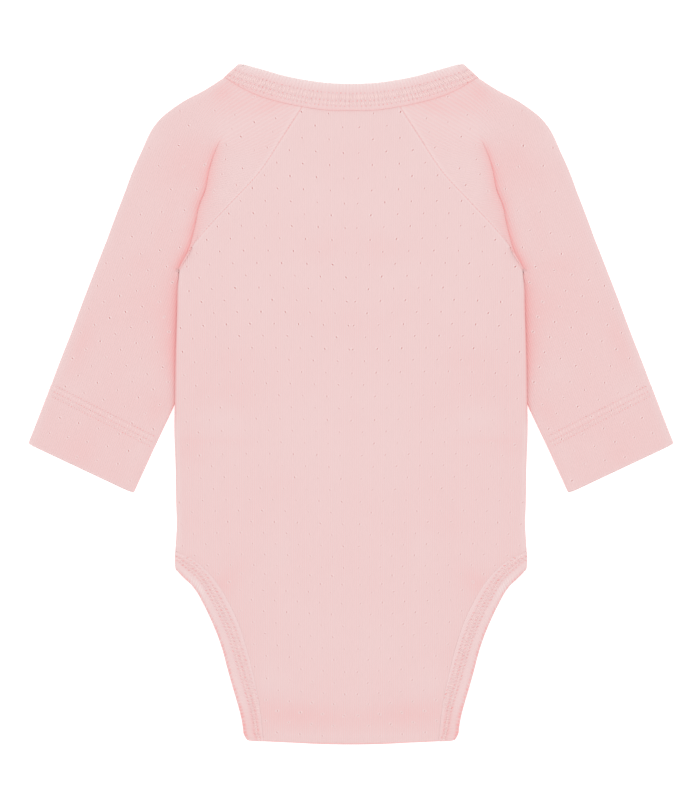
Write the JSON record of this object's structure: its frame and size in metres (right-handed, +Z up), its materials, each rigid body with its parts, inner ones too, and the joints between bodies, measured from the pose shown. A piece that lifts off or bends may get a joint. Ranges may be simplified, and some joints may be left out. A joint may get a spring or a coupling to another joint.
{
  "type": "baby onesie",
  "caption": "Long-sleeved raglan baby bodysuit in pale pink eyelet rib knit, laid flat with its back up and its crotch snaps closed.",
  "frame": {"origin": "centre of the garment's outline, on the surface it lies on", "axes": "+Y towards the neck, +X towards the wearer's right, +Z up, out of the garment's back"},
  "size_m": [0.3868, 0.4078, 0.0064],
  "materials": {
    "knit": "pale pink fine-rib cotton knit with small eyelets, matte",
    "trim": "pale pink rib binding, folded and coverstitched, matte",
    "snap": "off-white snap fastener, satin"
  },
  "bodies": {
    "root": {"back_panel": "knit", "front_panel": "knit", "right_sleeve": "knit", "left_sleeve": "knit", "neckband": "trim", "right_leg_binding": "trim", "left_leg_binding": "trim", "snap_socket_1": "snap", "snap_socket_2": "snap", "snap_socket_3": "snap", "snap_stud_1": "snap", "snap_stud_2": "snap", "snap_stud_3": "snap"}
  },
  "joints": []
}
